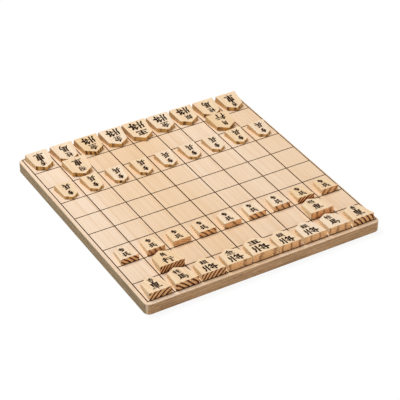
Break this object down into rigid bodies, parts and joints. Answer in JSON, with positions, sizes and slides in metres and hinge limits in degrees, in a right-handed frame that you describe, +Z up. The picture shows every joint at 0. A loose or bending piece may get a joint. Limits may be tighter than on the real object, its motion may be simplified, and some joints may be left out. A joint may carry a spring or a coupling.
{
  "type": "shogi set",
  "caption": "Flat square wooden shogi board ruled in squares, with a full set of loose wedge-shaped wooden pieces set up on it for play.",
  "frame": {"origin": "middle of the board's underside", "axes": "+Z up out of the board's top, +Y from the near player to the far player, +X to the near player's right"},
  "size_m": [0.2768, 0.2828, 0.0214],
  "materials": {
    "board_wood": "pale softwood, fine straight grain, thin satin lacquer",
    "line_lacquer": "dark brown lacquer ruled flush with the wood",
    "mark_ink": "black lacquer brushed on the pieces as their rank marks, seen only in the visual model",
    "piece_wood": "pale close-grained wood, satin, with dark growth rings on the end grain"
  },
  "bodies": {
    "board": {"board_slab": "board_wood", "grid_lines": "line_lacquer"},
    "near_lance_1": {"near_lance_1": "piece_wood"},
    "near_knight_2": {"near_knight_2": "piece_wood"},
    "near_silver_3": {"near_silver_3": "piece_wood"},
    "near_gold_4": {"near_gold_4": "piece_wood"},
    "near_king_5": {"near_king_5": "piece_wood"},
    "near_silver_6": {"near_silver_6": "piece_wood"},
    "near_silver_7": {"near_silver_7": "piece_wood"},
    "near_knight_8": {"near_knight_8": "piece_wood"},
    "near_lance_9": {"near_lance_9": "piece_wood"},
    "near_bishop_2": {"near_bishop_2": "piece_wood"},
    "near_rook_8": {"near_rook_8": "piece_wood"},
    "near_pawn_1": {"near_pawn_1": "piece_wood"},
    "near_pawn_2": {"near_pawn_2": "piece_wood"},
    "near_pawn_3": {"near_pawn_3": "piece_wood"},
    "near_pawn_4": {"near_pawn_4": "piece_wood"},
    "near_pawn_5": {"near_pawn_5": "piece_wood"},
    "near_pawn_6": {"near_pawn_6": "piece_wood"},
    "near_pawn_7": {"near_pawn_7": "piece_wood"},
    "near_pawn_8": {"near_pawn_8": "piece_wood"},
    "near_pawn_9": {"near_pawn_9": "piece_wood"},
    "far_lance_1": {"far_lance_1": "piece_wood"},
    "far_knight_2": {"far_knight_2": "piece_wood"},
    "far_gold_3": {"far_gold_3": "piece_wood"},
    "far_gold_4": {"far_gold_4": "piece_wood"},
    "far_king_5": {"far_king_5": "piece_wood"},
    "far_gold_6": {"far_gold_6": "piece_wood"},
    "far_silver_7": {"far_silver_7": "piece_wood"},
    "far_knight_8": {"far_knight_8": "piece_wood"},
    "far_lance_9": {"far_lance_9": "piece_wood"},
    "far_rook_2": {"far_rook_2": "piece_wood"},
    "far_bishop_8": {"far_bishop_8": "piece_wood"},
    "far_pawn_1": {"far_pawn_1": "piece_wood"},
    "far_pawn_2": {"far_pawn_2": "piece_wood"},
    "far_pawn_3": {"far_pawn_3": "piece_wood"},
    "far_pawn_4": {"far_pawn_4": "piece_wood"},
    "far_pawn_5": {"far_pawn_5": "piece_wood"},
    "far_pawn_6": {"far_pawn_6": "piece_wood"},
    "far_pawn_7": {"far_pawn_7": "piece_wood"},
    "far_pawn_8": {"far_pawn_8": "piece_wood"},
    "far_pawn_9": {"far_pawn_9": "piece_wood"}
  },
  "joints": [
    {"name": "near_lance_1_lift", "type": "slide", "parent": "board", "child": "near_lance_1", "axis": [0, 0, 1], "range_m": [0, 0.06]},
    {"name": "near_knight_2_lift", "type": "slide", "parent": "board", "child": "near_knight_2", "axis": [0, 0, 1], "range_m": [0, 0.06]},
    {"name": "near_silver_3_lift", "type": "slide", "parent": "board", "child": "near_silver_3", "axis": [0, 0, 1], "range_m": [0, 0.06]},
    {"name": "near_gold_4_lift", "type": "slide", "parent": "board", "child": "near_gold_4", "axis": [0, 0, 1], "range_m": [0, 0.06]},
    {"name": "near_king_5_lift", "type": "slide", "parent": "board", "child": "near_king_5", "axis": [0, 0, 1], "range_m": [0, 0.06]},
    {"name": "near_silver_6_lift", "type": "slide", "parent": "board", "child": "near_silver_6", "axis": [0, 0, 1], "range_m": [0, 0.06]},
    {"name": "near_silver_7_lift", "type": "slide", "parent": "board", "child": "near_silver_7", "axis": [0, 0, 1], "range_m": [0, 0.06]},
    {"name": "near_knight_8_lift", "type": "slide", "parent": "board", "child": "near_knight_8", "axis": [0, 0, 1], "range_m": [0, 0.06]},
    {"name": "near_lance_9_lift", "type": "slide", "parent": "board", "child": "near_lance_9", "axis": [0, 0, 1], "range_m": [0, 0.06]},
    {"name": "near_bishop_2_lift", "type": "slide", "parent": "board", "child": "near_bishop_2", "axis": [0, 0, 1], "range_m": [0, 0.06]},
    {"name": "near_rook_8_lift", "type": "slide", "parent": "board", "child": "near_rook_8", "axis": [0, 0, 1], "range_m": [0, 0.06]},
    {"name": "near_pawn_1_lift", "type": "slide", "parent": "board", "child": "near_pawn_1", "axis": [0, 0, 1], "range_m": [0, 0.06]},
    {"name": "near_pawn_2_lift", "type": "slide", "parent": "board", "child": "near_pawn_2", "axis": [0, 0, 1], "range_m": [0, 0.06]},
    {"name": "near_pawn_3_lift", "type": "slide", "parent": "board", "child": "near_pawn_3", "axis": [0, 0, 1], "range_m": [0, 0.06]},
    {"name": "near_pawn_4_lift", "type": "slide", "parent": "board", "child": "near_pawn_4", "axis": [0, 0, 1], "range_m": [0, 0.06]},
    {"name": "near_pawn_5_lift", "type": "slide", "parent": "board", "child": "near_pawn_5", "axis": [0, 0, 1], "range_m": [0, 0.06]},
    {"name": "near_pawn_6_lift", "type": "slide", "parent": "board", "child": "near_pawn_6", "axis": [0, 0, 1], "range_m": [0, 0.06]},
    {"name": "near_pawn_7_lift", "type": "slide", "parent": "board", "child": "near_pawn_7", "axis": [0, 0, 1], "range_m": [0, 0.06]},
    {"name": "near_pawn_8_lift", "type": "slide", "parent": "board", "child": "near_pawn_8", "axis": [0, 0, 1], "range_m": [0, 0.06]},
    {"name": "near_pawn_9_lift", "type": "slide", "parent": "board", "child": "near_pawn_9", "axis": [0, 0, 1], "range_m": [0, 0.06]},
    {"name": "far_lance_1_lift", "type": "slide", "parent": "board", "child": "far_lance_1", "axis": [0, 0, 1], "range_m": [0, 0.06]},
    {"name": "far_knight_2_lift", "type": "slide", "parent": "board", "child": "far_knight_2", "axis": [0, 0, 1], "range_m": [0, 0.06]},
    {"name": "far_gold_3_lift", "type": "slide", "parent": "board", "child": "far_gold_3", "axis": [0, 0, 1], "range_m": [0, 0.06]},
    {"name": "far_gold_4_lift", "type": "slide", "parent": "board", "child": "far_gold_4", "axis": [0, 0, 1], "range_m": [0, 0.06]},
    {"name": "far_king_5_lift", "type": "slide", "parent": "board", "child": "far_king_5", "axis": [0, 0, 1], "range_m": [0, 0.06]},
    {"name": "far_gold_6_lift", "type": "slide", "parent": "board", "child": "far_gold_6", "axis": [0, 0, 1], "range_m": [0, 0.06]},
    {"name": "far_silver_7_lift", "type": "slide", "parent": "board", "child": "far_silver_7", "axis": [0, 0, 1], "range_m": [0, 0.06]},
    {"name": "far_knight_8_lift", "type": "slide", "parent": "board", "child": "far_knight_8", "axis": [0, 0, 1], "range_m": [0, 0.06]},
    {"name": "far_lance_9_lift", "type": "slide", "parent": "board", "child": "far_lance_9", "axis": [0, 0, 1], "range_m": [0, 0.06]},
    {"name": "far_rook_2_lift", "type": "slide", "parent": "board", "child": "far_rook_2", "axis": [0, 0, 1], "range_m": [0, 0.06]},
    {"name": "far_bishop_8_lift", "type": "slide", "parent": "board", "child": "far_bishop_8", "axis": [0, 0, 1], "range_m": [0, 0.06]},
    {"name": "far_pawn_1_lift", "type": "slide", "parent": "board", "child": "far_pawn_1", "axis": [0, 0, 1], "range_m": [0, 0.06]},
    {"name": "far_pawn_2_lift", "type": "slide", "parent": "board", "child": "far_pawn_2", "axis": [0, 0, 1], "range_m": [0, 0.06]},
    {"name": "far_pawn_3_lift", "type": "slide", "parent": "board", "child": "far_pawn_3", "axis": [0, 0, 1], "range_m": [0, 0.06]},
    {"name": "far_pawn_4_lift", "type": "slide", "parent": "board", "child": "far_pawn_4", "axis": [0, 0, 1], "range_m": [0, 0.06]},
    {"name": "far_pawn_5_lift", "type": "slide", "parent": "board", "child": "far_pawn_5", "axis": [0, 0, 1], "range_m": [0, 0.06]},
    {"name": "far_pawn_6_lift", "type": "slide", "parent": "board", "child": "far_pawn_6", "axis": [0, 0, 1], "range_m": [0, 0.06]},
    {"name": "far_pawn_7_lift", "type": "slide", "parent": "board", "child": "far_pawn_7", "axis": [0, 0, 1], "range_m": [0, 0.06]},
    {"name": "far_pawn_8_lift", "type": "slide", "parent": "board", "child": "far_pawn_8", "axis": [0, 0, 1], "range_m": [0, 0.06]},
    {"name": "far_pawn_9_lift", "type": "slide", "parent": "board", "child": "far_pawn_9", "axis": [0, 0, 1], "range_m": [0, 0.06]}
  ]
}
